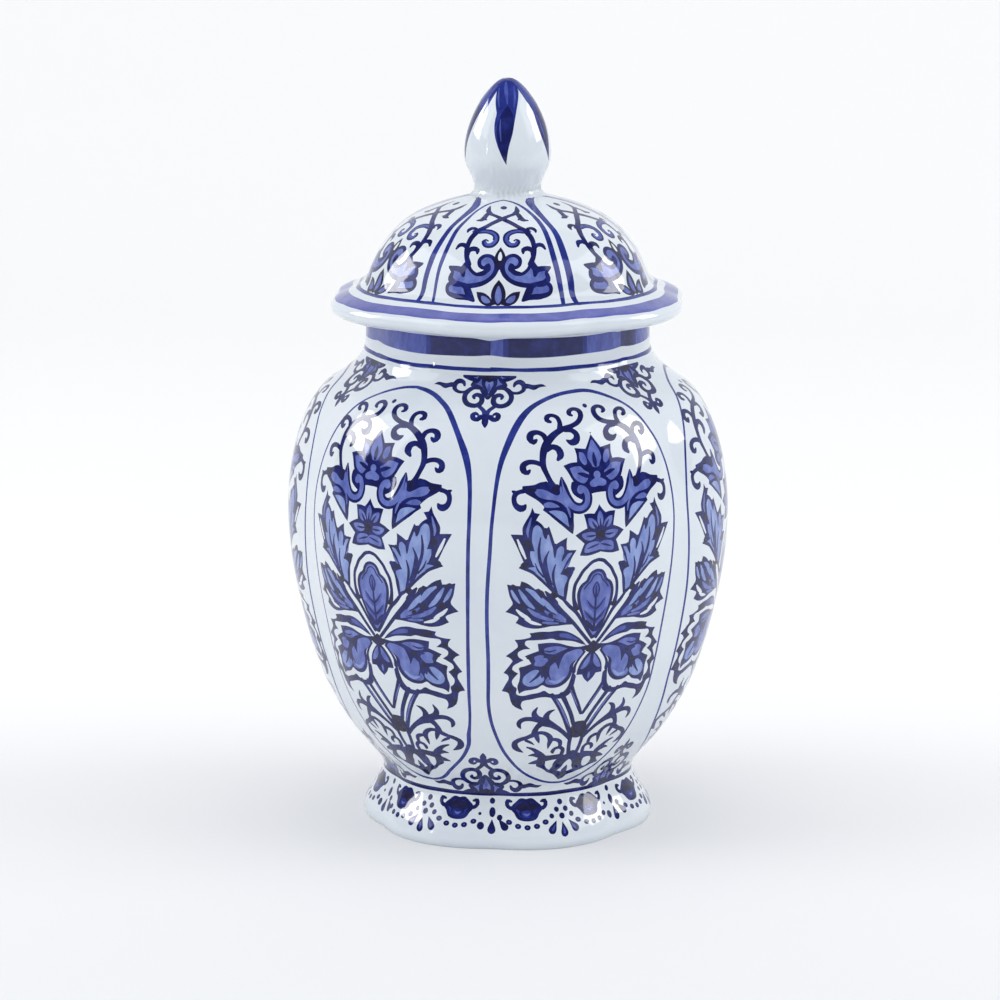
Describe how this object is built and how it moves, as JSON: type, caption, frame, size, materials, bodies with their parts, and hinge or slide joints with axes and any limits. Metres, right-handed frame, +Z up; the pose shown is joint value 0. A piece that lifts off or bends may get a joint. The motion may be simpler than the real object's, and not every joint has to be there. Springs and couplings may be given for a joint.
{
  "type": "ginger jar",
  "caption": "Lidded porcelain ginger jar with a lobed belly, splayed foot, domed lid and bud finial, painted blue on white with floral panels.",
  "frame": {"origin": "centre of the foot's resting face, on the jar's upright axis", "axes": "+Z up along the jar's axis; a valley between two lobes of the belly faces -Y, so that two painted panels share the front, and a lobe faces +X"},
  "size_m": [0.18, 0.173, 0.305],
  "materials": {
    "porcelain": "gloss"
  },
  "bodies": {
    "jar": {"foot_ring": "porcelain", "belly": "porcelain", "neck": "porcelain"},
    "lid": {"lid_dome": "porcelain", "lid_collar": "porcelain", "finial": "porcelain"}
  },
  "joints": [
    {"name": "lid_lift", "type": "slide", "parent": "jar", "child": "lid", "axis": [0, 0, 1], "range_m": [0, 0.12]}
  ]
}
